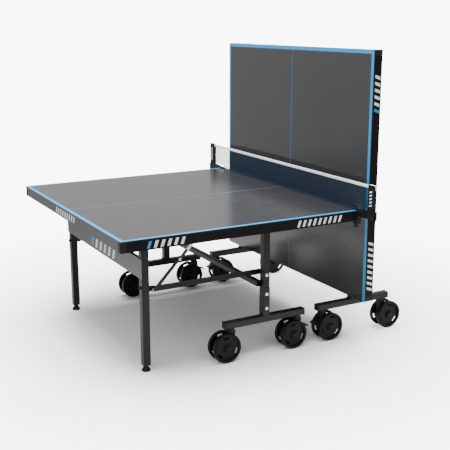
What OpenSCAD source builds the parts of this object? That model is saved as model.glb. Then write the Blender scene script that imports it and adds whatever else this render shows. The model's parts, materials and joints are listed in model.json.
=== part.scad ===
// Folding ping pong table on casters: one half down for play, the other half folded upright.
// Each half is the same assembly: a framed board that pivots on a wheeled carriage, and a pair
// of legs kept upright by two link bars. A half is drawn with its net edge on x = 0, running
// outwards to -x, and is then placed as the flat half or, mirrored, as the upright half.

/* [Table top] */
// Length of one half of the top, from the net line to its outer end
half_length = 1370; // [1250:5:1500]
// Width of the top across the table
top_width = 1525; // [1300:5:1700]
// Height of the playing surface above the floor
top_height = 760; // [720:1:820]
// Thickness of the playing board
board_thickness = 4; // [3:0.5:8]
// Depth of the edge frame, board included
frame_depth = 56; // [50:1:70]
// Width of the edge frame's flanges
flange_width = 20; // [12:1:26]
// Wall of the edge frame and of the square tubes
wall = 2; // [1.5:0.25:3]
// Length of a corner cap along each edge
cap_length = 30; // [25:1:45]
// How far a corner cap stands proud of the frame
cap_proud = 1; // [0.5:0.25:2]

/* [Underframe] */
// Depth of the ribs below the board
rib_depth = 36; // [28:1:38]
// Width of the ribs
rib_width = 20; // [12:1:26]
// Distance of the inner cross rib from the net line
net_cross_rib = 250; // [150:5:350]

/* [Carriage] */
// Distance of the uprights and foot rails inwards from the table's side
carriage_inset = 142.5; // [137.5:0.5:147.5]
// Upright tube along the table
upright_x = 38; // [30:1:44]
// Upright tube across the table
upright_y = 40; // [30:1:40]
// Wall of the socket that the upright stands in
socket_wall = 2; // [1.5:0.25:3]
// Height of the socket's rim above the floor
socket_top = 371; // [330:1:376]
// Length of a foot rail with its end caps
rail_length = 498; // [440:2:600]
// Width of a foot rail
rail_width = 40; // [36:1:44]
// Height of a foot rail
rail_height = 36; // [30:1:44]
// Thickness of a foot rail's end cap
rail_cap = 7; // [4:0.5:12]
// Side of the square cross beam
beam_size = 30; // [20:1:34]
// Height of the cross beam's middle above the floor
beam_height = 392; // [390:1:400]

/* [Legs] */
// Distance of the legs' middle from the outer end of the top
leg_inset = 210; // [180:5:260]
// Side of the leg tube
leg_size = 40; // [34:1:40]
// Distance of the leg's pivots from its middle
leg_lug = 40; // [36:1:46]
// Height of the link bars' pivots above the floor
link_height = 440; // [430:1:480]
// Height of a link bar
link_bar = 28; // [20:1:30]
// Thickness of a link bar
link_thickness = 10; // [6:0.5:12]
// Height of the cross panel between the legs
panel_height = 104; // [80:2:140]
// Height of the cross panel's lower edge above the floor
panel_bottom = 495; // [480:5:540]
// Distance of a folding stay's upper pivot from the leg's pivot
stay_reach = 280; // [240:5:290]
// Width of a folding stay
stay_width = 16; // [12:1:20]
// Thickness of a folding stay
stay_thickness = 6; // [4:0.5:6]
// Height of the foot rubber
foot_height = 28; // [20:1:30]
// Radius of the foot rubber's base
foot_radius = 24; // [18:1:30]

/* [Casters] */
// Wheel radius
wheel_radius = 80; // [60:1:84]
// Thickness of each of a caster's two wheels
wheel_thickness = 22; // [16:1:26]
// Gap between a caster's two wheels
wheel_gap = 41; // [38:1:46]
// Distance of the wheels' axle behind the caster's stem
trail = 37; // [25:1:45]
// Distance of a caster's stem from the middle of the foot rail
stem_spread = 208; // [190:1:240]
// Gap between the wheel tops and the foot rail
wheel_headroom = 18; // [16:1:26]

/* [Net] */
// Height of the net above the playing surface
net_height = 152; // [140:1:160]
// How far the net posts stand out beyond the table's side
post_overhang = 137.5; // [107.5:0.5:167.5]
// Width of a net post across the table
post_width = 50; // [34:1:60]
// Depth of a net post along the table
post_depth = 20; // [14:1:24]
// Distance of the net from the net line, towards the flat half
net_inset = 10; // [8:1:20]
// Width of a net clamp along the table
clamp_width = 26; // [24:1:40]
// How far a clamp's tongue lies on the playing surface
clamp_tongue = 34; // [26:1:40]
// Height of the white band along the top of the net
tape_height = 15; // [10:1:20]
// Thickness of the net band
tape_thickness = 6; // [4:0.5:8]
// Thickness of the net
net_thickness = 3; // [2:0.5:4]

/* [Pose] */
// Gap between the net line and the upright half's playing face
face_gap = 56; // [50:1:80]

/* [Hidden] */
fine = 64;
corner_radius = 4;
corner_steps = 3;
fit = 0.08;            // radial clearance of a pin in its hole
pivot_gap = 1;         // board to socket when a half is folded
edge_gap = 16;         // net edge to foot rail when a half is folded
plane_gap = 1;         // between bars that pass each other

socket_x = upright_x + 2 * socket_wall + 0.2;
socket_y = upright_y + 2 * socket_wall + 0.2;
pivot_drop = board_thickness + socket_x / 2 + pivot_gap - 0.1;
pivot_z = top_height - pivot_drop;
board_under = top_height - board_thickness;
frame_bottom = top_height - frame_depth;
rail_bottom = 2 * wheel_radius + wheel_headroom;
rail_top = rail_bottom + rail_height;
pivot_x = pivot_z - rail_top - edge_gap;      // from the net line to the pivot
half_width = top_width / 2;
leg_x = half_length - leg_inset;
hinge_x = leg_x - leg_lug;                    // leg pivots, from the net line
reach = hinge_x - pivot_x;                    // pivot to leg pivot
link_drop = pivot_z - link_height;
stay_x = hinge_x - stay_reach;
stay_span = sqrt(stay_reach * stay_reach + link_drop * link_drop);
stay_low = (stay_span - abs(link_drop - stay_reach)) / 2;
stay_up = (stay_span + abs(link_drop - stay_reach)) / 2;
stay_angle = atan2(link_drop, stay_reach);
pin_radius = 5;
hinge_pin_radius = 6;
stem_radius = 6;
axle_pin = 6;
pivot_pin = 8;

// Planes across the table, from the uprights inwards
carriage_y = half_width - carriage_inset;
upright_face = carriage_y - upright_y / 2;
bracket_y = upright_face - 12;
stay_up_y = bracket_y - plane_gap - stay_thickness;
stay_low_y = stay_up_y - plane_gap - stay_thickness;
link_y = stay_low_y - 8 - link_thickness;
leg_face = link_y - plane_gap;
leg_y = leg_face - leg_size / 2;
inner_rib_y = leg_y - leg_size / 2 - 25 - rib_width;
outer_rib_y = carriage_y + upright_y / 2 + 15;
end_cross_rib = stay_x + 110;
post_reach = half_width + post_overhang;
leg_bottom = foot_height + 5;

caster_half = wheel_gap / 2 + wheel_thickness;
x_low = -half_length - cap_proud;
up_centre = face_gap + pivot_drop;            // middle of the upright half's carriage
x_high = up_centre + stem_spread + trail + wheel_radius;
origin_x = -(x_low + x_high) / 2;
up_shift = up_centre - pivot_x;

charcoal = [0.24, 0.24, 0.25];
frame_grey = [0.13, 0.13, 0.14];
black = [0.04, 0.04, 0.045];
silver = [0.75, 0.76, 0.78];
navy = [0.09, 0.13, 0.19];

// ---- helpers ----

function rounded(w, h, r) = [
    for (c = [0:3], i = [0:corner_steps])
        let (a = 90 * (c + i / corner_steps),
             sx = (c == 0 || c == 3) ? 1 : -1,
             sy = (c < 2) ? 1 : -1)
        [sx * (w / 2 - r) + r * cos(a), sy * (h / 2 - r) + r * sin(a)]
];

function arc(r, a, b, n) = [for (i = [0:n]) let (t = a + (b - a) * i / n) [r * cos(t), r * sin(t)]];

// A block between two opposite corners
module block(low, high) {
    translate(low) cube(high - low);
}

// A cylinder along Y, from y = a to y = b, on the axis x, z
module rod_y(x, z, r, a, b) {
    translate([x, b, z]) rotate([90, 0, 0]) cylinder(r = r, h = b - a, $fn = fine);
}

// A flat shape drawn in X and Z, standing from y = a to y = b
module slab_y(a, b) {
    translate([0, b, 0]) rotate([90, 0, 0]) linear_extrude(b - a) children();
}

// A square tube along Z with rounded corners
module box_tube(w, d, low, high) {
    translate([0, 0, low]) linear_extrude(high - low) difference() {
        polygon(rounded(w, d, corner_radius));
        polygon(rounded(w - 2 * wall, d - 2 * wall, corner_radius - wall));
    }
}

// A bar in X and Z between two pivots, with round ends
module bar_2d(from, to, width) {
    length = norm(to - from);
    turn = atan2(to[1] - from[1], to[0] - from[0]);
    translate(from) circle(d = width, $fn = fine);
    translate(to) circle(d = width, $fn = fine);
    translate(from) rotate(turn) translate([0, -width / 2]) square([length, width]);
}

module both_sides() {
    children();
    mirror([0, 1, 0]) children();
}

module side(s) {
    if (s > 0) children();
    else mirror([0, 1, 0]) children();
}

module turn_y(x, z, angle) {
    translate([x, 0, z]) rotate([0, angle, 0]) translate([-x, 0, -z]) children();
}

// ---- placing the two halves: fold is 0 for the flat half and 1 for the upright half ----

module flat_half() { translate([origin_x, 0, 0]) children(); }
module up_half() { translate([origin_x + up_shift, 0, 0]) mirror([1, 0, 0]) children(); }
module top_at(fold) { turn_y(-pivot_x, pivot_z, 90 * fold) children(); }
module legs_at(fold) { translate([reach * fold, 0, reach * fold]) children(); }
module links_at(fold) { turn_y(-pivot_x, link_height, 90 * fold) children(); }
module stays_low_at(fold) {
    legs_at(fold) turn_y(-hinge_x, link_height, (90 + stay_angle) * fold) children();
}
module stays_up_at(fold) {
    top_at(fold) turn_y(-stay_x, pivot_z, -(180 - stay_angle) * fold) children();
}

// ---- table top ----

module board() {
    color(charcoal) block([-half_length, -half_width, board_under], [0, half_width, top_height]);
}

// Edge channel in section: web outside, flanges inwards, drawn with the web's face on x = 0
module channel_2d() {
    translate([0, frame_bottom]) square([wall, board_under - frame_bottom]);
    translate([0, frame_bottom]) square([flange_width, wall]);
    translate([0, board_under - wall]) square([flange_width, wall]);
    translate([flange_width - wall, frame_bottom]) square([wall, 3 * wall]);
}

module channel_y(a, b) {
    translate([0, b, 0]) rotate([90, 0, 0]) linear_extrude(b - a) channel_2d();
}

module sides() {
    color(black) both_sides()
        translate([-half_length + cap_length, half_width, 0]) rotate([0, 0, -90])
            channel_y(0, half_length - 2 * cap_length - cap_proud);
}

module end_rail() {
    color(frame_grey) translate([-half_length, 0, 0])
        channel_y(-half_width + cap_length, half_width - cap_length);
}

// The net edge channel is left open where the uprights stand when the half is folded
module net_rail() {
    notch = socket_y / 2 + 2;
    color(frame_grey) mirror([1, 0, 0]) {
        channel_y(-carriage_y + notch, carriage_y - notch);
        both_sides() channel_y(carriage_y + notch, half_width - cap_length);
    }
}

module corner_cap() {
    size = cap_length + cap_proud;
    translate([-cap_length, -cap_length, frame_bottom])
        difference() {
            linear_extrude(board_under - frame_bottom) difference() {
                polygon(concat([[0, 0], [size, 0]],
                    [for (p = arc(8, 0, 90, 5)) [size - 8, size - 8] + p], [[0, size]]));
                square(size - flange_width, center = false);
            }
            translate([-1, -1, 3 * wall])
                cube([size - 6, size - 6, board_under - frame_bottom - 6 * wall]);
        }
}

module corners() {
    color(black) both_sides() {
        translate([-half_length, half_width, 0]) mirror([1, 0, 0]) corner_cap();
        translate([-cap_proud, half_width, 0]) corner_cap();
    }
}

// A rib is a folded channel under the board, open below
module rib(from, to) {
    difference() {
        block([from[0], from[1], board_under - rib_depth], [to[0], to[1], board_under]);
        children();
    }
}

module rib_along(y) {
    far_end = -half_length + flange_width;
    rib([far_end, y], [-flange_width, y + rib_width])
        block([far_end - 1, y + wall, board_under - rib_depth - 1],
              [-flange_width + 1, y + rib_width - wall, board_under - wall]);
}

module rib_across(x, reach_y) {
    rib([x - rib_width / 2, -reach_y], [x + rib_width / 2, reach_y])
        block([x - rib_width / 2 + wall, -reach_y - 1, board_under - rib_depth - 1],
              [x + rib_width / 2 - wall, reach_y + 1, board_under - wall]);
}

// Ribs, bearings for the uprights' pivot pins, leg hinge blocks and brackets for the folding stays
module underframe() {
    plate = 6;
    color(frame_grey) difference() {
        union() {
            both_sides() {
                rib_along(inner_rib_y);
                rib_along(outer_rib_y);
                block([-pivot_x - 14, outer_rib_y, pivot_z - 13],
                      [-pivot_x + 14, outer_rib_y + rib_width, board_under]);
                block([-hinge_x - 14, inner_rib_y + rib_width, pivot_z - 16],
                      [-hinge_x + 14, inner_rib_y + rib_width + 20, board_under]);
                block([-stay_x - 12, bracket_y, pivot_z - 12],
                      [-stay_x + 12, bracket_y + plate, board_under]);
                block([-stay_x - 12, bracket_y, board_under - plate],
                      [-stay_x + 12, outer_rib_y + wall, board_under]);
                rod_y(-stay_x, pivot_z, pin_radius, stay_up_y, bracket_y);
            }
            rib_across(-end_cross_rib, outer_rib_y);
            rib_across(-net_cross_rib, inner_rib_y);
        }
        both_sides() {
            rod_y(-pivot_x, pivot_z, pivot_pin + fit,
                  outer_rib_y - 1, outer_rib_y + rib_width - 4);
            rod_y(-hinge_x, pivot_z, hinge_pin_radius + fit,
                  inner_rib_y + rib_width, inner_rib_y + rib_width + 21);
        }
    }
}

// ---- carriage ----

module uprights() {
    color(frame_grey) both_sides() {
        translate([-pivot_x, carriage_y, 0])
            box_tube(upright_x, upright_y, rail_top + 3.2, pivot_z);
        difference() {
            rod_y(-pivot_x, pivot_z, upright_x / 2, upright_face, carriage_y + upright_y / 2);
            block([-pivot_x - upright_x, upright_face - 1, pivot_z - upright_x],
                  [-pivot_x + upright_x, carriage_y + upright_y, pivot_z]);
        }
        rod_y(-pivot_x, pivot_z, pivot_pin,
              carriage_y + upright_y / 2 - 1, outer_rib_y + rib_width - 5);
        rod_y(-pivot_x, link_height, pin_radius, link_y - 0.5, link_y + link_thickness + 1);
        rod_y(-pivot_x, link_height, 9, link_y + link_thickness + 1, upright_face);
    }
}

module cross_tubes() {
    color(frame_grey)
        translate([-pivot_x - upright_x / 2 - beam_size / 2, 0, beam_height]) rotate([90, 0, 0])
            box_tube(beam_size, beam_size, -carriage_y + 2, carriage_y - 2);
}

module rail() {
    steel = rail_length - 2 * rail_cap;
    translate([-pivot_x, carriage_y, 0]) {
        difference() {
            translate([0, 0, rail_bottom + rail_height / 2]) rotate([0, 90, 0])
                box_tube(rail_height, rail_width, -steel / 2, steel / 2);
            for (x = [-stem_spread, stem_spread]) translate([x, 0, rail_bottom - 1])
                cylinder(r = 11, h = wall + 2, $fn = fine);
        }
        for (x = [-stem_spread, stem_spread]) translate([x, 0, rail_bottom]) difference() {
            cylinder(r = 11.5, h = 22, $fn = fine);
            translate([0, 0, -1]) cylinder(r = stem_radius + fit, h = 24, $fn = fine);
        }
        translate([0, 0, rail_top]) {
            linear_extrude(3) polygon(rounded(socket_x + 8, rail_width, 3));
            linear_extrude(socket_top - rail_top) difference() {
                polygon(rounded(socket_x, socket_y, corner_radius + 1));
                polygon(rounded(upright_x + 0.2, upright_y + 0.2, corner_radius));
            }
        }
    }
}

module rails() {
    color(frame_grey) both_sides() rail();
}

module rail_end() {
    steel = rail_length / 2 - rail_cap;
    translate([0, 0, rail_bottom + rail_height / 2]) rotate([0, 90, 0]) {
        translate([0, 0, steel]) linear_extrude(rail_cap - 2)
            polygon(rounded(rail_height + 2, rail_width + 2, corner_radius + 1));
        translate([0, 0, rail_length / 2 - 2]) linear_extrude(2)
            polygon(rounded(rail_height - 2, rail_width - 2, corner_radius - 1));
        translate([0, 0, steel - 12]) linear_extrude(12)
            polygon(rounded(rail_height - 2 * wall - 0.3, rail_width - 2 * wall - 0.3, 1.8));
    }
}

module rail_caps() {
    color(black) both_sides() translate([-pivot_x, carriage_y, 0]) {
        rail_end();
        mirror([1, 0, 0]) rail_end();
    }
}

// ---- legs and linkage ----

module legs() {
    inner = leg_y - leg_size / 2;
    color(frame_grey) both_sides() difference() {
        union() {
            translate([-leg_x, leg_y, 0]) {
                box_tube(leg_size, leg_size, leg_bottom, pivot_z + 8);
                for (z = [leg_bottom, pivot_z + 4]) translate([0, 0, z])
                    linear_extrude(z == leg_bottom ? 14 : 4)
                        polygon(rounded(leg_size - wall, leg_size - wall, corner_radius - wall / 2));
            }
            slab_y(leg_face - 14, leg_face) {
                translate([-hinge_x, pivot_z]) circle(r = 13, $fn = fine);
                translate([-leg_x + leg_size / 2 - 1, pivot_z - 13])
                    square([leg_lug - leg_size / 2 + 1, 26]);
            }
            slab_y(leg_face - 10, leg_face) {
                translate([-hinge_x, link_height]) circle(r = 13, $fn = fine);
                translate([-leg_x + leg_size / 2 - 1, link_height - 13])
                    square([leg_lug - leg_size / 2 + 1, 26]);
            }
            rod_y(-hinge_x, pivot_z, hinge_pin_radius, inner_rib_y + rib_width + 2, leg_face);
            rod_y(-hinge_x, link_height, pin_radius, leg_face - 2,
                  stay_low_y + stay_thickness + plane_gap / 2);
        }
        translate([-leg_x, leg_y, leg_bottom - 1]) cylinder(r = 6 + fit, h = 20, $fn = fine);
    }
}

module leg_panel() {
    span = leg_face + 5;
    outer = -leg_x - leg_size / 2;
    color([0.26, 0.26, 0.27]) {
        block([outer - 3, -span, panel_bottom], [outer, span, panel_bottom + panel_height]);
        for (z = [panel_bottom, panel_bottom + panel_height - 3])
            block([outer, leg_size / 2 + 3 - leg_y, z], [outer + 18, leg_y - leg_size / 2 - 3, z + 3]);
    }
}

module foot(s) {
    color(black) side(s) translate([-leg_x, leg_y, 0]) {
        rotate_extrude($fn = fine) polygon([
            [0, 0], [foot_radius - 2, 0], [foot_radius, 2], [foot_radius - 1, 7],
            [foot_radius / 2 + 1, foot_height - 4], [foot_radius / 2, foot_height], [0, foot_height]]);
        cylinder(r = 6, h = foot_height + 36, $fn = fine);
    }
}

module links() {
    color(frame_grey) both_sides() difference() {
        slab_y(link_y, link_y + link_thickness)
            bar_2d([-hinge_x, link_height], [-pivot_x, link_height], link_bar);
        for (x = [-hinge_x, -pivot_x])
            rod_y(x, link_height, pin_radius + fit, link_y - 1, link_y + link_thickness + 1);
    }
}

function elbow() = [-hinge_x + stay_low * cos(stay_angle), link_height + stay_low * sin(stay_angle)];

module stays_low() {
    color(black) both_sides() {
        difference() {
            slab_y(stay_low_y, stay_low_y + stay_thickness)
                bar_2d([-hinge_x, link_height], elbow(), stay_width);
            rod_y(-hinge_x, link_height, pin_radius + fit,
                  stay_low_y - 1, stay_low_y + stay_thickness + 1);
        }
    }
}

module stays_up() {
    color(silver) both_sides() {
        difference() {
            slab_y(stay_up_y, stay_up_y + stay_thickness)
                bar_2d(elbow(), [-stay_x, pivot_z], stay_width);
            rod_y(-stay_x, pivot_z, pin_radius + fit,
                  stay_up_y - 1, stay_up_y + stay_thickness + 1);
        }
    }
}

// ---- casters, drawn with the stem on x = 0, y = 0 and the wheels behind it at -x ----

module at_caster(out, s) {
    translate([-pivot_x - (out ? stem_spread : -stem_spread), s * carriage_y, 0]) children();
}

module fork(brake) {
    half = wheel_gap / 2 - 3;
    color(black) difference() {
        union() {
            slab_y(-half, half) translate([-trail, wheel_radius]) {
                difference() {
                    circle(r = wheel_radius - 18, $fn = 96);
                    translate([-wheel_radius, -wheel_radius]) square([2 * wheel_radius, wheel_radius - 22]);
                }
                translate([trail - 18, 20]) square([36, rail_bottom - wheel_radius - 30]);
                if (brake) translate([54, 40]) circle(r = 13, $fn = fine);
            }
            translate([0, 0, rail_bottom - 12.5]) cylinder(r = 20, h = 12, $fn = fine);
            translate([0, 0, rail_bottom - 12.5]) cylinder(r = stem_radius, h = 32, $fn = fine);
        }
        rod_y(-trail, wheel_radius, axle_pin + fit, -half - 1, half + 1);
        if (brake) {
            block([43 - trail, -11, wheel_radius + 27], [90 - trail, 11, wheel_radius + 58]);
            rod_y(54 - trail, wheel_radius + 40, 3 + fit, -half - 1, half + 1);
        }
    }
}

module wheel() {
    r = wheel_radius;
    t = wheel_thickness;
    web_inside = 12;       // depth of the web's inner face below the outer rim
    difference() {
        rotate([-90, 0, 0]) rotate_extrude($fn = 96) polygon([
            [0, 0], [22, 0], [22, t - web_inside], [r - 13, t - web_inside], [r - 10, 0], [r - 4, 0],
            [r - 0.8, 3], [r, 7], [r, t - 7], [r - 0.8, t - 3], [r - 4, t],
            [r - 12, t], [r - 14, t - 7], [24, t - 7], [22, t - 2], [18, t], [0, t]]);
        rod_y(0, 0, axle_pin + fit, -1, t - 5);
        for (k = [0:2]) rotate([0, 120 * k + 20, 0]) translate([0, t + 1, 0])
            rotate([90, 0, 0]) linear_extrude(t + 2)
                polygon(concat(arc(r - 29, -16, 16, 6), arc(r - 17, 16, -16, 6)));
    }
}

module wheels() {
    color(black) translate([-trail, 0, wheel_radius]) {
        both_sides() translate([0, wheel_gap / 2, 0]) wheel();
        rod_y(0, 0, axle_pin, -caster_half + 5.5, caster_half - 5.5);
    }
}

module brake() {
    half = wheel_gap / 2 - 3;
    color(black) translate([54 - trail, 0, wheel_radius + 40]) {
        slab_y(-10.6, 10.6) {
            circle(r = 7, $fn = fine);
            polygon([[-2, 6.5], [30, -1], [50, -8], [53, -12], [50, -14], [28, -9], [-2, -6.5]]);
        }
        slab_y(-20, 20) polygon([[30, -1], [50, -8], [53, -12], [50, -14], [30, -9.6]]);
        rod_y(0, 0, 3, -half + 0.2, half - 0.2);
    }
}

// ---- net ----

clamp_y = half_width - 16;
jaw_top = frame_bottom - 12;
arm_top = top_height + 15;
arm_bottom = frame_bottom + 29;
post_inner = post_reach - post_width;
post_foot = arm_top + 0.3;
post_top = top_height + net_height + 3;
pin_depth = 36;
post_pins = [post_inner + 13, post_reach - 13];

module net_sheet() {
    color(navy) translate([-net_inset, 0, 0]) difference() {
        block([-net_thickness / 2, -post_inner, top_height + 2],
              [net_thickness / 2, post_inner, top_height + net_height - tape_height]);
        both_sides() block([-net_thickness, half_width - clamp_tongue - 3, top_height],
                           [net_thickness, post_inner + 1, arm_top + 1]);
    }
}

module tape() {
    color("white") translate([-net_inset, 0, 0])
        block([-tape_thickness / 2, -post_inner, top_height + net_height - tape_height],
              [tape_thickness / 2, post_inner, top_height + net_height]);
}

module posts() {
    color(black) both_sides() translate([-net_inset, 0, 0]) {
        translate([0, post_reach - post_width / 2, post_foot])
            linear_extrude(post_top - post_foot) polygon(rounded(post_depth, post_width, 3));
        for (y = post_pins) translate([0, y, post_foot - pin_depth])
            cylinder(r = pin_radius, h = pin_depth + 1, $fn = fine);
    }
}

// A clamp in section across the table: tongue on the surface, arm for the post, jaw underneath
module clamp_2d() {
    outer = half_width + 2;
    polygon([
        [half_width - clamp_tongue, top_height], [half_width - clamp_tongue, top_height + 5],
        [post_inner - 6, arm_top], [post_reach + 4, arm_top], [post_reach + 4, arm_bottom],
        [outer + 12, arm_bottom], [outer + 6, jaw_top - 6], [half_width - 28, jaw_top - 6],
        [half_width - 28, jaw_top], [outer, jaw_top], [outer, top_height]]);
}

module clamps() {
    color(black) both_sides() translate([-net_inset, 0, 0]) difference() {
        union() {
            translate([-clamp_width / 2, 0, 0]) rotate([90, 0, 90])
                linear_extrude(clamp_width) clamp_2d();
            block([-4, post_reach + 3, arm_bottom - 5], [4, post_reach + 9, arm_bottom + 22]);
        }
        translate([0, clamp_y, jaw_top - 7]) cylinder(r = 4 + fit, h = 8, $fn = fine);
        for (y = post_pins) translate([0, y, arm_top - pin_depth - 1])
            cylinder(r = pin_radius + fit, h = pin_depth + 2, $fn = fine);
    }
}

module screw(s) {
    color(black) side(s) translate([-net_inset, clamp_y, 0]) {
        translate([0, 0, jaw_top - 24]) cylinder(r = 4, h = 33, $fn = fine);
        translate([0, 0, frame_bottom - 4.3]) cylinder(r = 9, h = 4, $fn = fine);
        translate([0, 0, jaw_top - 26]) cylinder(r = 7, h = 12, $fn = fine);
        translate([-13, -3, jaw_top - 26]) cube([26, 6, 9]);
    }
}

// ---- the assembly ----

flat_half() board();  // flat_board
flat_half() sides();  // flat_sides
flat_half() end_rail();  // flat_end_rail
flat_half() net_rail();  // flat_net_rail
flat_half() underframe();  // flat_underframe
flat_half() corners();  // flat_corners
flat_half() uprights();  // flat_uprights
flat_half() cross_tubes();  // flat_cross_tubes
flat_half() rails();  // flat_rails
flat_half() rail_caps();  // flat_rail_caps
flat_half() legs();  // flat_legs
flat_half() leg_panel();  // flat_leg_panel
flat_half() foot(-1);  // flat_foot_near
flat_half() foot(1);  // flat_foot_far
flat_half() links();  // flat_links
flat_half() stays_low();  // flat_stays_low
flat_half() stays_up();  // flat_stays_up
flat_half() at_caster(false, -1) fork(true);  // flat_fork_in_near
flat_half() at_caster(false, 1) fork(true);  // flat_fork_in_far
flat_half() at_caster(true, -1) fork(false);  // flat_fork_out_near
flat_half() at_caster(true, 1) fork(false);  // flat_fork_out_far
flat_half() at_caster(false, -1) wheels();  // flat_wheels_in_near
flat_half() at_caster(false, 1) wheels();  // flat_wheels_in_far
flat_half() at_caster(true, -1) wheels();  // flat_wheels_out_near
flat_half() at_caster(true, 1) wheels();  // flat_wheels_out_far
flat_half() at_caster(false, -1) brake();  // flat_brake_near
flat_half() at_caster(false, 1) brake();  // flat_brake_far

flat_half() net_sheet();  // net
flat_half() tape();  // net_tape
flat_half() posts();  // net_posts
flat_half() clamps();  // net_clamps
flat_half() screw(-1);  // net_screw_near
flat_half() screw(1);  // net_screw_far

up_half() top_at(1) board();  // up_board
up_half() top_at(1) sides();  // up_sides
up_half() top_at(1) end_rail();  // up_end_rail
up_half() top_at(1) net_rail();  // up_net_rail
up_half() top_at(1) underframe();  // up_underframe
up_half() top_at(1) corners();  // up_corners
up_half() uprights();  // up_uprights
up_half() cross_tubes();  // up_cross_tubes
up_half() rails();  // up_rails
up_half() rail_caps();  // up_rail_caps
up_half() legs_at(1) legs();  // up_legs
up_half() legs_at(1) leg_panel();  // up_leg_panel
up_half() legs_at(1) foot(-1);  // up_foot_near
up_half() legs_at(1) foot(1);  // up_foot_far
up_half() links_at(1) links();  // up_links
up_half() stays_low_at(1) stays_low();  // up_stays_low
up_half() stays_up_at(1) stays_up();  // up_stays_up
up_half() at_caster(false, -1) fork(true);  // up_fork_in_near
up_half() at_caster(false, 1) fork(true);  // up_fork_in_far
up_half() at_caster(true, -1) fork(false);  // up_fork_out_near
up_half() at_caster(true, 1) fork(false);  // up_fork_out_far
up_half() at_caster(false, -1) wheels();  // up_wheels_in_near
up_half() at_caster(false, 1) wheels();  // up_wheels_in_far
up_half() at_caster(true, -1) wheels();  // up_wheels_out_near
up_half() at_caster(true, 1) wheels();  // up_wheels_out_far
up_half() at_caster(false, -1) brake();  // up_brake_near
up_half() at_caster(false, 1) brake();  // up_brake_far
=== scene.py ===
# %% [markdown]
# # A folding ping pong table
# The real table is two halves. Each half is a thin laminate board in a steel edge frame, which
# pivots on a wheeled carriage. One half is down for play, on its own pair of legs. The other half
# stands upright, so that one player can practise against it. A net is clamped to the half that
# is down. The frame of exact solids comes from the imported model. This file gives it its finishes
# and adds the pieces that are too fine for it: the netting, the tape, the bolts and the prints.

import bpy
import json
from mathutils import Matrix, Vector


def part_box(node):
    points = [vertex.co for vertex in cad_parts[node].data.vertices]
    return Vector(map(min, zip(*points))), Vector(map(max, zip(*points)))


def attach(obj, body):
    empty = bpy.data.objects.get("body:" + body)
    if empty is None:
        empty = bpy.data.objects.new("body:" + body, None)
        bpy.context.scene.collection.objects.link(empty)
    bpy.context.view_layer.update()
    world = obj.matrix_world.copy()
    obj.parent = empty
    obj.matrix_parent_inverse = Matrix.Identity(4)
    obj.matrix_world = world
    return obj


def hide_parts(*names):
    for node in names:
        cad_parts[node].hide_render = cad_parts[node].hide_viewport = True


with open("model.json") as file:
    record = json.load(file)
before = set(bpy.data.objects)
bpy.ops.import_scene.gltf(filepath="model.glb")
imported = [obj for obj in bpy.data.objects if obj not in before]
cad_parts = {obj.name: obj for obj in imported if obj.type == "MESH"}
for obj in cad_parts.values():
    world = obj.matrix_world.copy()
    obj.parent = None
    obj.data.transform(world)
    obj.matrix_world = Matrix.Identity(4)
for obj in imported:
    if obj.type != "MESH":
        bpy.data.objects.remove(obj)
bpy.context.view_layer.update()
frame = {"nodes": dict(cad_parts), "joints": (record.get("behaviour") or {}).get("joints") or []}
nodes = frame["nodes"]

# %% Sizes read from the frame
import json
import math

import bpy
from mathutils import Matrix, Vector

MM = 0.001
HALVES = ("flat", "up")
SIDES = {"near": -1, "far": 1}


def corners_of(node):
    return [Vector(corner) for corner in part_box(node)]


def joint_place(name):
    return Vector(next(j["pos_m"] for j in frame["joints"] if j["name"] == name))


board_low, board_high = corners_of("flat_board")
surface_z = board_high.z
net_line_x = board_high.x
half_width = board_high.y
pivot = {half: joint_place(half + "_fold") for half in HALVES}
print("surface at", round(surface_z, 4), "net line at", round(net_line_x, 4))

# %% [markdown]
# ## Camera and light
# A table like this is photographed in a white studio: a white sweep under and behind it, one very
# large soft light overhead that does most of the work, and weak ones high on the left and in
# front. A long lens, well back, keeps the uprights straight. The camera is placed first, so that
# every later step is judged through it. The backdrop is far brighter to the camera than it is to
# the table, so that it reads as white without washing out the blacks.

# %% Camera
CAMERA_PLACE = (-2.251, -4.201, 1.739)
CAMERA_YAW = 29.61
CAMERA_PITCH = 13.39
CAMERA_ROLL = -0.14
CAMERA_SHIFT = (-0.0191, -0.0118)
FOCAL = 66.5


def deselect():
    bpy.ops.object.select_all(action="DESELECT")


deselect()
bpy.ops.object.camera_add(
    location=CAMERA_PLACE,
    rotation=tuple(math.radians(a) for a in (90 - CAMERA_PITCH, CAMERA_ROLL, -CAMERA_YAW)),
)
camera = bpy.context.object
camera.data.lens = FOCAL
camera.data.shift_x, camera.data.shift_y = CAMERA_SHIFT
bpy.context.scene.camera = camera
print("camera at", tuple(round(v, 3) for v in camera.location))

# %% Lights
# Each lamp's place, size in metres and power in watts
LIGHTS = {
    "key": ((-3.0, -2.4, 4.0), 3.0, 90),
    "front": ((0.5, -5.0, 3.2), 3.0, 30),
    "top": ((0.0, 0.2, 4.4), 4.5, 800),
}
LAMP_AIM = Vector((0, 0, 0.5))
FILL = 0.8
SEEN_WHITE = 8.0
for name, (place, size, power) in LIGHTS.items():
    deselect()
    bpy.ops.object.light_add(type="AREA", location=place)
    lamp = bpy.context.object
    lamp.name = "lamp_" + name
    lamp.data.size = size
    lamp.data.energy = power
    lamp.rotation_euler = (-Vector(place) + LAMP_AIM).to_track_quat("-Z", "Y").to_euler()

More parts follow.
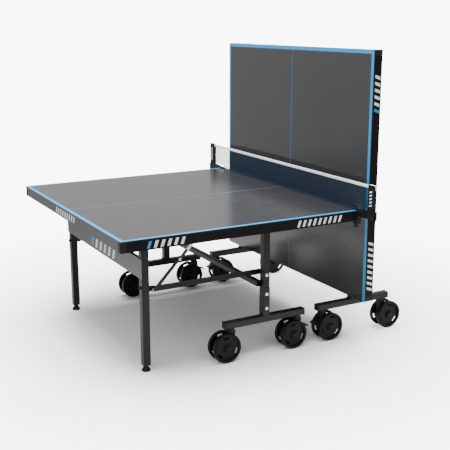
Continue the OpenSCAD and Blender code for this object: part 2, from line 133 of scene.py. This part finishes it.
world = bpy.data.worlds.new("studio")
bpy.context.scene.world = world
world.use_nodes = True
sky = world.node_tree
backdrop = sky.nodes["Background"]
backdrop.inputs["Color"].default_value = (1, 1, 1, 1)
seen = sky.nodes.new("ShaderNodeLightPath").outputs["Is Camera Ray"]
strength = sky.nodes.new("ShaderNodeMath")
strength.operation = "MULTIPLY_ADD"
strength.inputs[1].default_value = SEEN_WHITE
strength.inputs[2].default_value = FILL
sky.links.new(seen, strength.inputs[0])
sky.links.new(strength.outputs[0], backdrop.inputs["Strength"])
print(len(LIGHTS), "lamps")

# %% [markdown]
# ## Shader maths
# A finish is a colour, a roughness and a little relief that all change over the surface. Each is
# a formula of the place on the piece, so it is written as one. `Field` wraps a socket, and its
# operators add the Math nodes. `Finish` starts a material and holds the one method that adds
# every other kind of node.

# %% Field and Finish


class Field:
    """A socket that carries a number, with Python's operators."""

    def __init__(self, finish, socket):
        self.finish = finish
        self.socket = socket

    def math(self, operation, *others):
        return self.finish.add("Math", {"operation": operation}, self, *others)

    def __add__(self, other):
        return self.math("ADD", other)

    def __sub__(self, other):
        return self.math("SUBTRACT", other)

    def __rsub__(self, other):
        return self.finish.add("Math", {"operation": "SUBTRACT"}, other, self)

    def __mul__(self, other):
        return self.math("MULTIPLY", other)

    def __truediv__(self, other):
        return self.math("DIVIDE", other)

    def __gt__(self, other):
        return self.math("GREATER_THAN", other)

    def __lt__(self, other):
        return self.math("LESS_THAN", other)

    def __abs__(self):
        return self.math("ABSOLUTE")

    def fraction(self):
        return self.math("FRACT")

    __radd__ = __add__
    __rmul__ = __mul__


class Finish:
    """A material with one Principled shader."""

    def __init__(self, name, roughness=0.5, metallic=0.0, specular=0.5, coat=0.0):
        self.material = bpy.data.materials.new(name)
        self.material.use_nodes = True
        self.tree = self.material.node_tree
        self.shader = self.tree.nodes["Principled BSDF"]
        self.set("Roughness", roughness)
        self.set("Metallic", metallic)
        self.set("Specular IOR Level", specular)
        self.set("Coat Weight", coat)

    def add(self, kind, settings, *values, output=0, **named):
        node = self.tree.nodes.new("ShaderNode" + kind)
        for key, value in settings.items():
            setattr(node, key, value)
        for socket, value in list(zip(node.inputs, values)) + [
            (node.inputs[key.replace("_", " ")], value) for key, value in named.items()
        ]:
            self.put(socket, value)
        return Field(self, node.outputs[output])

    def put(self, socket, value):
        if isinstance(value, Field):
            self.tree.links.new(value.socket, socket)
        else:
            socket.default_value = value

    def set(self, name, value):
        self.put(self.shader.inputs[name], value)

    def place(self):
        """x, y and z of the piece, in metres."""
        whole = self.add("TexCoord", {}, output=3)
        node = self.add("SeparateXYZ", {}, whole).socket.node
        return [Field(self, socket) for socket in node.outputs]

    def stretched(self, scale):
        whole = self.add("TexCoord", {}, output=3)
        return self.add("Mapping", {}, whole, Scale=scale)

    def noise(self, scale, detail=2.0, stretch=(1, 1, 1)):
        return self.add("TexNoise", {}, Vector=self.stretched(stretch), Scale=scale, Detail=detail)

    def blend(self, factor, first, second):
        kind = {"data_type": "RGBA"}
        node = self.add("Mix", kind).socket.node
        self.put(node.inputs["Factor"], factor)
        for socket, colour in ((node.inputs[6], first), (node.inputs[7], second)):
            self.put(socket, colour if isinstance(colour, Field) else (*colour, 1))
        return Field(self, node.outputs[2])

    def relief(self, height, depth):
        bump = self.add("Bump", {}, Strength=1.0, Distance=depth, Height=height)
        self.set("Normal", bump)


def grey(level):
    return (level, level, level * 1.03)


# %% [markdown]
# ## Powder coat, plastic and rubber
# The tubes are sprayed with dry polyester powder and baked, which leaves a fine orange peel
# about two millimetres across. Moulded plastic has a finer, sharper
# grain from the etched mould. Both are near black, so what the eye reads is how broad the
# highlights are, and the roughness carries a slow, cloudy change where hands and dust have been.

# %% Plain finishes


def coated(name, level, roughness, grain, depth, specular=0.4):
    finish = Finish(name, specular=specular)
    cloud = finish.noise(7.0, detail=4.0)
    fine = finish.noise(grain, detail=3.0)
    finish.set("Base Color", finish.blend(cloud, grey(level * 0.85), grey(level * 1.2)))
    finish.set("Roughness", roughness - 0.05 + cloud * 0.1 + fine * 0.06)
    finish.relief(fine, depth)
    return finish.material


frame_paint = coated("charcoal_powder_coat", 0.006, 0.40, 420.0, 0.00025, specular=0.24)
edge_paint = coated("black_powder_coat", 0.002, 0.38, 420.0, 0.0002, specular=0.12)
# The end rail has the same black powder coat as the sides. Its coat is painted a lighter grey as
# painted light, because the end faces the key lamp on the left.
lit_end_paint = coated("black_powder_coat_painted_lit", 0.035, 0.40, 420.0, 0.0002)
panel_paint = coated("panel_powder_coat", 0.045, 0.40, 420.0, 0.0002)
black_plastic = coated("grained_black_plastic", 0.004, 0.45, 900.0, 0.00015, specular=0.2)
wheel_plastic = coated("wheel_plastic", 0.0015, 0.36, 700.0, 0.0001, specular=0.14)
foot_rubber = coated("foot_rubber", 0.005, 0.62, 500.0, 0.0003, specular=0.2)


ZINC = (0.62, 0.63, 0.64), (0.82, 0.83, 0.84)


def plated(name, grain):
    finish = Finish(name, metallic=1.0)
    streak = finish.noise(220.0, detail=3.0, stretch=grain)
    cloud = finish.noise(30.0)
    finish.set("Base Color", finish.blend(cloud, *ZINC))
    finish.set("Roughness", 0.2 + streak * 0.2)
    finish.relief(streak, 0.00008)
    return finish.material


bolt_zinc = plated("bolt_zinc", (1, 1, 1))

# %% [markdown]
# The upper folding stay is zinc plated at its top and painted below. The change is a mask: how
# far a point is from the stay's pivot, measured in the plane that the stay turns in.

# %% Two-tone stay
BRIGHT_RUN = 0.150


def two_tone(half):
    hip = joint_place(half + "_up_stay_hinge")
    finish = Finish(half + "_stay_finish")
    x, y, z = finish.place()
    dx, dz = x - hip.x, z - hip.z
    painted = (dx * dx + dz * dz).math("SQRT") > BRIGHT_RUN
    cloud = finish.noise(30.0)
    zinc = finish.blend(cloud, *ZINC)
    finish.set("Base Color", finish.blend(painted, zinc, grey(0.008)))
    finish.set("Metallic", painted * -1.0 + 1.0)
    finish.set("Roughness", 0.25 + cloud * 0.12 + painted * 0.12)
    return finish.material


stay_paint = {half: two_tone(half) for half in HALVES}

# %% [markdown]
# ## The playing surface
# The board is a weatherproof laminate with a printed face. It has to be dull enough not to dazzle
# and even enough for the ball, so it has a very fine grain and a soft, broad sheen. A 20 mm line
# is printed along the sides and the end, and a 3.5 mm line down the middle for doubles. There is
# no line along the net. The lines are masks worked out from the place on the board.

# %% Surface
EDGE_LINE = 0.020
CENTRE_LINE = 0.0035
AZURE = (0.0, 0.19, 0.44)
PRINT_DEPTH = 0.0004


def surface(name, half):
    low, high = corners_of(half + "_board")
    finish = Finish(name, specular=0.5)
    x, y, z = finish.place()
    if half == "flat":
        along = x - low.x
        face = z > high.z - PRINT_DEPTH
    else:
        along = high.z - z
        face = x < low.x + PRINT_DEPTH
    edge = (half_width - abs(y)) < EDGE_LINE
    end = along < EDGE_LINE
    centre = abs(y) < CENTRE_LINE / 2
    line = edge.math("MAXIMUM", end).math("MAXIMUM", centre * 0.55) * face
    grain = finish.noise(1100.0, detail=2.0)
    cloud = finish.noise(2.2, detail=5.0)
    speck = finish.noise(5.0, detail=8.0)
    base = finish.blend(cloud, (0.018, 0.018, 0.019), (0.026, 0.026, 0.027))
    finish.set("Base Color", finish.blend(line, base, AZURE))
    finish.set("Roughness", 0.17 + cloud * 0.05 + speck * 0.06 + line * 0.15)
    finish.relief(grain, 0.00006)
    return finish.material


board_paint = {half: surface("laminate_" + half, half) for half in HALVES}
print("lines", EDGE_LINE, CENTRE_LINE)

# %% [markdown]
# ## Giving each solid its finish
# Every solid of the frame keeps its shape. Bent sheet and cut tube have no sharp corners, so the
# box-like ones get a small live bevel, after their loose triangles are welded.

# %% Finishes on the frame's solids
FINISHES = {
    "sides": edge_paint,
    "end_rail": lit_end_paint,
    "net_rail": edge_paint,
    "underframe": edge_paint,
    "corners": black_plastic,
    "uprights": frame_paint,
    "cross_tubes": frame_paint,
    "rails": frame_paint,
    "rail_caps": black_plastic,
    "legs": frame_paint,
    "leg_panel": panel_paint,
    "links": frame_paint,
    "stays_low": frame_paint,
    "foot_near": foot_rubber,
    "foot_far": foot_rubber,
    "brake_near": black_plastic,
    "brake_far": black_plastic,
}


def finish_for(node):
    half, _, part = node.partition("_")
    if part == "stays_up":
        return stay_paint[half]
    if part == "board":
        return board_paint[half]
    if part.startswith("wheels"):
        return wheel_plastic
    return FINISHES.get(part, black_plastic)


for name, solid in nodes.items():
    solid.data.materials.clear()
    solid.data.materials.append(finish_for(name))

BEVELLED = ("sides", "end_rail", "net_rail", "leg_panel", "corners", "links")
BEVELLED += ("stays_low", "stays_up")
WELD_REACH = 0.00002
SOFT_EDGE = 0.0006
SHARP_ANGLE = 40
for half in HALVES:
    for part in BEVELLED:
        solid = nodes[f"{half}_{part}"]
        weld = solid.modifiers.new("weld", "WELD")
        weld.merge_threshold = WELD_REACH
        bevel = solid.modifiers.new("soft_edges", "BEVEL")
        bevel.width = SOFT_EDGE
        bevel.segments = 2
        bevel.limit_method = "ANGLE"
        bevel.angle_limit = math.radians(SHARP_ANGLE)

# %% [markdown]
# ## Modelling helpers
# Each new piece starts as a primitive of about the right size, is shaped in edit mode, and ends
# as a mesh whose object sits at the origin. An operator works on all that is selected, so
# `start` first clears the selection, and `pick` selects only what a test on place says.

# %% Start, pick and settle


def start(name, add, scale=(1, 1, 1), **how):
    deselect()
    add(**how)
    piece = bpy.context.object
    piece.name = piece.data.name = name
    piece.scale = scale
    bpy.ops.object.transform_apply(location=True, rotation=True, scale=True)
    return piece


def pick(piece, kind, test):
    """Enters edit mode with only those vertices, edges or faces selected that pass the test."""
    bpy.ops.object.mode_set(mode="EDIT")
    bpy.ops.mesh.select_mode(type=kind)
    bpy.ops.mesh.select_all(action="DESELECT")
    bpy.ops.object.mode_set(mode="OBJECT")
    mesh = piece.data
    spots = [v.co for v in mesh.vertices]
    if kind == "VERT":
        for vertex in mesh.vertices:
            vertex.select = test(vertex.co)
    elif kind == "EDGE":
        for edge in mesh.edges:
            edge.select = test([spots[i] for i in edge.vertices])
    else:
        for face in mesh.polygons:
            face.select = test(face.center, face.normal)
    bpy.ops.object.mode_set(mode="EDIT")


def done():
    bpy.ops.object.mode_set(mode="OBJECT")


def modify(piece, kind, **settings):
    deselect()
    piece.select_set(True)
    bpy.context.view_layer.objects.active = piece
    modifier = piece.modifiers.new(kind.lower(), kind)
    for key, value in settings.items():
        setattr(modifier, key, value)
    bpy.ops.object.modifier_apply(modifier=modifier.name)


def join(name, *pieces):
    deselect()
    for piece in pieces:
        piece.select_set(True)
    bpy.context.view_layer.objects.active = pieces[0]
    if len(pieces) > 1:
        bpy.ops.object.join()
    pieces[0].name = pieces[0].data.name = name
    return pieces[0]


def copied(source, place):
    """A copy of a piece with its own mesh, put at a place by a matrix."""
    twin = bpy.data.objects.new(source.name, source.data.copy())
    bpy.context.scene.collection.objects.link(twin)
    twin.data.transform(place)
    if place.determinant() < 0:
        twin.data.flip_normals()
    return twin


def seat(piece, body, material, smooth=30):
    piece.data.materials.clear()
    piece.data.materials.append(material)
    deselect()
    piece.select_set(True)
    bpy.context.view_layer.objects.active = piece
    bpy.ops.object.shade_smooth_by_angle(angle=math.radians(smooth))
    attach(piece, body)
    return piece


def discard(*templates):
    for template in templates:
        bpy.data.objects.remove(template)


# %% [markdown]
# ## The net
# A table tennis net is knotless netting with a mesh of 7.5 to 12.5 mm, dark so that the white
# ball shows against it. It could be a sheet with a see-through pattern, but then it has no
# thickness at its edge. Here every face of a grid is inset by half a cord, the middles are
# deleted, and the lattice that is left is thickened, so every cord is real.

# %% Netting
NET_MESH = 0.010
NET_CORD = 0.0020
NET_THICK = 0.0026
HEM = 0.010
HEM_THICK = 0.0032
HEM_GAP = 0.002
FOOT_HEM = 0.005
CLAMP_REACH = 0.037
CLAMP_RISE = 0.016
HALF_MESH = NET_MESH / 2


def cloth(name, colour, threads):
    finish = Finish(name, roughness=0.85, specular=0.2)
    x, y, z = finish.place()
    warp = (y * threads).fraction() - 0.5
    weft = (z * threads).fraction() - 0.5
    weave = abs(warp) * abs(weft) * 4
    wear = finish.noise(40.0, detail=4.0)
    dark = tuple(c * 0.75 for c in colour)
    finish.set("Base Color", finish.blend(wear * 0.6 + weave * 0.4, colour, dark))
    finish.set("Roughness", 0.8 + weave * 0.1)
    finish.relief(weave, 0.0003)
    return finish.material


navy_cord = cloth("navy_netting", (0.012, 0.026, 0.055), 900.0)
white_tape = cloth("white_tape", (0.86, 0.86, 0.90), 1200.0)

net_low, net_high = corners_of("net")
net_x = (net_low.x + net_high.x) / 2
net_width = net_high.y - net_low.y
net_drop = net_high.z - net_low.z
across, down = round(net_width / NET_MESH), round(net_drop / NET_MESH)
notch_y = half_width - CLAMP_REACH
notch_z = surface_z + CLAMP_RISE
net = start(
    "netting",
    bpy.ops.mesh.primitive_grid_add,
    scale=(net_drop, net_width, 1),
    x_subdivisions=down,
    y_subdivisions=across,
    size=1,
)
upright_turn = Matrix.Rotation(math.pi / 2, 4, "Y")
net.data.transform(Matrix.Translation((net_x, 0, (net_low.z + net_high.z) / 2)) @ upright_turn)


def over_a_clamp(centre, normal):
    return abs(centre.y) + HALF_MESH > notch_y and centre.z - HALF_MESH < notch_z


pick(net, "FACE", over_a_clamp)
bpy.ops.mesh.delete(type="FACE")
done()
pick(net, "FACE", lambda centre, normal: True)
bpy.ops.mesh.inset(thickness=NET_CORD / 2, use_individual=True, use_boundary=True)
bpy.ops.mesh.delete(type="FACE")
done()
modify(net, "SOLIDIFY", thickness=NET_THICK, offset=0)
seat(net, "net_set", navy_cord)
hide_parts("net")
print("netting", across, "by", down, "meshes,", len(net.data.polygons), "faces")

# %% [markdown]
# The netting is sewn into a hem down each end and along the foot, which slide on to the posts.

# %% Hems
hems = []
for sign in SIDES.values():
    hem = start(
        "hem",
        bpy.ops.mesh.primitive_cube_add,
        scale=(HEM_THICK, HEM, net_high.z - notch_z - HEM_GAP),
        size=1,
        location=(net_x, sign * (net_high.y - HEM / 2), (notch_z + HEM_GAP + net_high.z) / 2),
    )
    hems.append(hem)
foot_hem = start(
    "foot_hem",
    bpy.ops.mesh.primitive_cube_add,
    scale=(HEM_THICK, 2 * notch_y, FOOT_HEM),
    size=1,
    location=(net_x, 0, net_low.z + FOOT_HEM / 2),
)
hem = join("net_hems", foot_hem, *hems)
modify(hem, "BEVEL", width=0.0008, segments=2)
seat(hem, "net_set", navy_cord)

# %% [markdown]
# The white band along the top is one strip of woven tape, folded over the netting and a tension
# cord. So it is a flattened tube: round along its top, where the cord lies, and pinched where
# the two flaps are sewn to the net. A face of a block is drawn in and its top rounded.

# %% White band
tape_low, tape_high = corners_of("net_tape")
tape_size = tape_high - tape_low
band = start(
    "net_band",
    bpy.ops.mesh.primitive_cube_add,
    scale=tuple(tape_size),
    size=1,
    location=tuple((tape_low + tape_high) / 2),
)
pick(band, "FACE", lambda centre, normal: normal.z < -0.9)
bpy.ops.transform.resize(value=(0.55, 1, 1))
done()
band_top = tape_high.z - MM
pick(band, "EDGE", lambda ends: min(v.z for v in ends) > band_top and ends[0].x == ends[1].x)
bpy.ops.mesh.bevel(offset=0.0028, segments=5, affect="EDGES")
done()
seat(band, "net_set", white_tape)
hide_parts("net_tape")

post_low, post_high = corners_of("net_posts")
STRAP = 0.007
for side, sign in SIDES.items():
    strap = start(
        "net_strap_" + side,
        bpy.ops.mesh.primitive_plane_add,
        scale=(STRAP, 0.004, 1),
        size=1,
        location=(net_x, sign * (tape_high.y - 0.003), tape_high.z - 0.0005),
    )
    for step in ((0, 0.004, 0.0042), (0, 0.046, 0), (0, 0.0035, -0.0025), (0, 0.0005, -0.022)):
        reach = max(sign * v.co.y for v in strap.data.vertices)
        tip = min(v.co.z for v in strap.data.vertices if sign * v.co.y > reach - 1e-5)
        pick(strap, "VERT", lambda co: sign * co.y > reach - 1e-5 and co.z < tip + 1e-5)
        bpy.ops.mesh.extrude_region_move(
            TRANSFORM_OT_translate={"value": (0, sign * step[1], step[2])}
        )
        done()
    modify(strap, "SOLIDIFY", thickness=0.0012, offset=0)
    modify(strap, "BEVEL", width=0.0003, segments=2)
    seat(strap, "net_set", white_tape)

# %% [markdown]
# ## Bolts
# The bright dots on a table's frame are the heads of its bolts: M8 hexagon heads on a washer,
# zinc plated. One is modelled and copied. The hexagon is a six-sided cylinder; its top is inset
# and raised into the turned chamfer that every real head has.

# %% One bolt head
BOLT = 0.0068
washer = start(
    "washer",
    bpy.ops.mesh.primitive_cylinder_add,
    vertices=28,
    radius=BOLT * 1.35,
    depth=0.0016,
    location=(0, 0, 0.0008),
)
modify(washer, "BEVEL", width=0.0004, segments=2, limit_method="ANGLE")
hexagon = start(
    "hexagon",
    bpy.ops.mesh.primitive_cylinder_add,
    vertices=6,
    radius=BOLT,
    depth=0.0044,
    location=(0, 0, 0.0036),
)
pick(hexagon, "FACE", lambda centre, normal: normal.z > 0.9)
bpy.ops.mesh.inset(thickness=0.0011)
bpy.ops.transform.translate(value=(0, 0, 0.0008))
done()
modify(hexagon, "BEVEL", width=0.0003, segments=2, limit_method="ANGLE", angle_limit=0.3)
bolt = join("bolt", washer, hexagon)


def head_at(source, name, body, material, place, out, size=1.0):
    """A copy of a head, standing on a face at a place and facing out."""
    turn = Vector(out).to_track_quat("Z", "Y").to_matrix().to_4x4()
    piece = copied(source, Matrix.Translation(place) @ turn @ Matrix.Scale(size, 4))
    piece.name = piece.data.name = name
    return seat(piece, body, material)


# %% [markdown]
# Each upright carries three: the one that the link bar turns on, and two through the socket. The
# links have a smaller one at the knee, and the stays one at the elbow.

# %% Bolts in place
socket_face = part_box("flat_rails")[1][1]
carriage_face = joint_place("flat_roll_in_far").y + 0.020
link_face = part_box("flat_links")[1][1]
stay_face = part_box("flat_stays_up")[1][1]
link_z = joint_place("flat_link_hinge").z
SOCKET_BOLTS = (0.335, 0.256)
STAY_ARM = 0.210
STAY_ANGLE = math.radians(46.4)
elbow_turn = {
    "flat": Vector((-math.cos(STAY_ANGLE), 0, -math.sin(STAY_ANGLE))),
    "up": Vector((0, 0, -1)),
}
count = 0
for half in HALVES:
    carriage = half + "_carriage"
    x = pivot[half].x
    knee = joint_place(half + "_low_stay_hinge")
    hip = joint_place(half + "_up_stay_hinge")
    for side, sign in SIDES.items():
        out = (0, sign, 0)
        spots = [("link", carriage, (x, sign * carriage_face, link_z), 1.0)]
        spots += [
            (f"socket{i}", carriage, (x, sign * socket_face, z), 1.0)
            for i, z in enumerate(SOCKET_BOLTS)
        ]
        elbow = hip + elbow_turn[half] * STAY_ARM
        spots += [
            ("knee", half + "_link_pair", (knee.x, sign * link_face, knee.z), 0.9),
            ("elbow", half + "_up_stay_pair", (elbow.x, sign * stay_face, elbow.z), 0.8),
        ]
        for label, body, place, size in spots:
            name = f"{half}_{label}_bolt_{side}"
            head_at(bolt, name, body, bolt_zinc, place, out, size)
            count += 1
discard(bolt)
print(count, "bolts")

# %% [markdown]
# The pins on the legs end in a black cap nut: a short cylinder whose outer end is inset and
# pulled out twice into a dome.

# %% Cap nuts
CAP_NUT_Z = 0.445
cap = start(
    "cap",
    bpy.ops.mesh.primitive_cylinder_add,
    vertices=24,
    radius=0.0085,
    depth=0.006,
    location=(0, 0, 0.003),
)
for inward, rise in ((0.0018, 0.002), (0.003, 0.001)):
    top = max(v.co.z for v in cap.data.vertices)
    pick(cap, "FACE", lambda centre, normal: centre.z > top - 1e-5 and normal.z > 0.9)
    bpy.ops.mesh.inset(thickness=inward)
    bpy.ops.transform.translate(value=(0, 0, rise))
    done()
foot_low, foot_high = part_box("flat_foot_far")
leg_middle = (foot_low[1] + foot_high[1]) / 2
legs_low = corners_of("flat_legs")[0]
for side, sign in SIDES.items():
    place = (legs_low.x, sign * leg_middle, CAP_NUT_Z)
    name = "flat_cap_nut_" + side
    head_at(cap, name, "flat_leg_frame", black_plastic, place, (-1, 0, 0))
discard(cap)

# %% [markdown]
# ## Wheels
# A twin-wheel caster's disc is moulded with a raised bead near its rim. A torus is pressed
# flat against the outer face of every disc, and a low domed cap covers the end of the axle.

# %% Beads and hub caps
BEAD_RADIUS = 0.067
bead = start(
    "bead",
    bpy.ops.mesh.primitive_torus_add,
    major_radius=BEAD_RADIUS,
    minor_radius=0.0032,
    major_segments=56,
    minor_segments=10,
)
bead.data.transform(Matrix.Diagonal((1, 1, 0.6, 1)))
hub = start("hub", bpy.ops.mesh.primitive_cylinder_add, vertices=32, radius=0.017, depth=0.004)
pick(hub, "FACE", lambda centre, normal: normal.z > 0.9)
bpy.ops.mesh.inset(thickness=0.004)
bpy.ops.transform.translate(value=(0, 0, 0.0015))
done()
modify(hub, "BEVEL", width=0.0006, segments=2, limit_method="ANGLE")
disc_trim = join("disc_trim", bead, hub)
for half in HALVES:
    for where in ("in", "out"):
        for side in SIDES:
            label = f"{half}_{where}_{side}"
            axle = joint_place(f"{half}_roll_{where}_{side}")
            low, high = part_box(f"{half}_wheels_{where}_{side}")
            for face, y, out in (("a", low[1], -1), ("b", high[1], 1)):
                head_at(
                    disc_trim,
                    f"{label}_trim_{face}",
                    f"{half}_wheel_pair_{where}_{side}",
                    wheel_plastic,
                    (axle.x, y, axle.z),
                    (0, out, 0),
                )
discard(disc_trim)

# %% [markdown]
# ## Prints
# Makers print their mark on the aprons. This table carries a plain row of slanted bars instead,
# one azure and the rest white, as a printed foil a fraction of a millimetre thick. A thin block
# has its upper edge pushed sideways, which gives the slant, and is copied along the row.

# %% Foils
FOIL = 0.0003


def printed(name, colour):
    finish = Finish(name, roughness=0.35, specular=0.4)
    fade = finish.noise(60.0, detail=4.0)
    finish.set("Base Color", finish.blend(fade, colour, tuple(c * 0.9 for c in colour)))
    finish.set("Roughness", 0.3 + fade * 0.1)
    return finish.material


white_print = printed("white_print", (0.62, 0.62, 0.64))
azure_print = printed("azure_print", AZURE)
SLANT = 0.35
FILLED = 0.45


def foil_row(name, body, corner, along, up, length, height, bars, azure=0):
    """A row of slanted bars from a corner, running along one direction and standing up another."""
    along, up = Vector(along), Vector(up)
    pitch = length / bars
    size = (pitch * FILLED, height, FOIL)
    bar = start("bar", bpy.ops.mesh.primitive_cube_add, scale=size, size=1)
    pick(bar, "VERT", lambda co: co.y > 0)
    bpy.ops.transform.translate(value=(height * SLANT, 0, 0))
    done()
    turn = Matrix((along, up, along.cross(up))).transposed().to_4x4()
    rows = {"azure": [], "white": []}
    for i in range(bars):
        centre = Vector(corner) + along * (pitch * (i + FILLED / 2)) + up * (height / 2)
        piece = copied(bar, Matrix.Translation(centre) @ turn)
        rows["azure" if i < azure else "white"].append(piece)
    discard(bar)
    for colour, pieces in rows.items():
        if pieces:
            paint = azure_print if colour == "azure" else white_print
            seat(join(f"{name}_{colour}", *pieces), body, paint)


# %% [markdown]
# A row's place is given as the corner it starts from, measured from the board's end, from the net
# line or from the middle. On the far side the same row runs the other way, so that it would also
# read from left to right.

# %% Rows of bars
UP = (0, 0, 1)
ACROSS = (0, -1, 0)
MARK_LONG, MARK_BARS = 0.21, 6
WORD_LONG, WORD_BARS = 0.29, 9
PRINT_TALL = 0.034
PRINT_MARGIN = 0.008
PANEL_MARGIN = 0.016
MARK_START = {"near": 0.13, "far": 0.34}
WORD_START = {"near": 0.40, "far": 0.10}
UP_MARK_Z = 1.27
UP_WORD_Z = 0.29
POST_LONG, POST_TALL, POST_BARS = 0.09, 0.02, 5
POST_INSET, POST_SIDE, POST_RISE = 0.025, 0.010, 0.04
END_LONG, END_START, END_RAIL_OUT = 0.32, 0.18, 0.030
PANEL_LONG, PANEL_TALL, PANEL_START, PANEL_BARS = 0.38, 0.066, 0.15, 6
flat_low, flat_high = corners_of("flat_sides")
up_low, up_high = corners_of("up_sides")
panel_low = corners_of("flat_leg_panel")[0]
apron_z = flat_low.z + PRINT_MARGIN
for side, sign in SIDES.items():
    run = (-sign, 0, 0)
    face_y = sign * (flat_high.y + FOIL / 2)
    mark = (board_low.x + MARK_START[side], face_y, apron_z)
    word = (net_line_x - WORD_START[side], face_y, apron_z)
    foil_row("mark_" + side, "flat_top", mark, run, UP, MARK_LONG, PRINT_TALL, MARK_BARS, azure=1)
    foil_row("word_" + side, "flat_top", word, run, UP, WORD_LONG, PRINT_TALL, WORD_BARS)
    stand = (sign, 0, 0)
    x = up_high.x - PRINT_MARGIN if sign < 0 else up_low.x + PRINT_MARGIN
    mark, word = (x, face_y, UP_MARK_Z), (x, face_y, UP_WORD_Z)
    mark_size = (MARK_LONG, PRINT_TALL, MARK_BARS)
    foil_row("up_mark_" + side, "up_top", mark, UP, stand, *mark_size, azure=1)
    foil_row("up_word_" + side, "up_top", word, UP, stand, WORD_LONG, PRINT_TALL, WORD_BARS)
    post_y = sign * (post_high.y - POST_INSET) + POST_SIDE
    post = (post_low.x - FOIL / 2, post_y, surface_z + POST_RISE)
    foil_row("post_mark_" + side, "net_set", post, UP, ACROSS, POST_LONG, POST_TALL, POST_BARS)
end_word = (flat_low.x - END_RAIL_OUT - FOIL / 2, END_START, apron_z)
foil_row("end_word", "flat_top", end_word, ACROSS, UP, END_LONG, PRINT_TALL, WORD_BARS)
panel_mark = (panel_low.x - FOIL / 2, PANEL_START, panel_low.z + PANEL_MARGIN)
panel_size = (PANEL_LONG, PANEL_TALL, PANEL_BARS)
foil_row("panel_mark", "flat_leg_frame", panel_mark, ACROSS, UP, *panel_size, azure=1)

# %% [markdown]
# ## Floor
# The sweep is a matt white floor under the table. A real sweep curves up out of sight; here the
# floor thins out with distance instead, until only the lit background is seen.

# %% Floor
FLOOR_START = 0.8
FLOOR_END = 2.6
deselect()
bpy.ops.mesh.primitive_plane_add(size=16, location=(0, 0, 0))
floor = bpy.context.object
floor.name = "studio_floor"
sweep = Finish("studio_white", roughness=0.9, specular=0.0)
sweep.set("Base Color", sweep.blend(sweep.noise(0.5), (0.93, 0.93, 0.93), (0.96, 0.96, 0.96)))
x, y, z = sweep.place()
distance = (x * x + y * y).math("SQRT")
sweep.set("Alpha", (FLOOR_END - distance) / (FLOOR_END - FLOOR_START))
floor.data.materials.append(sweep.material)
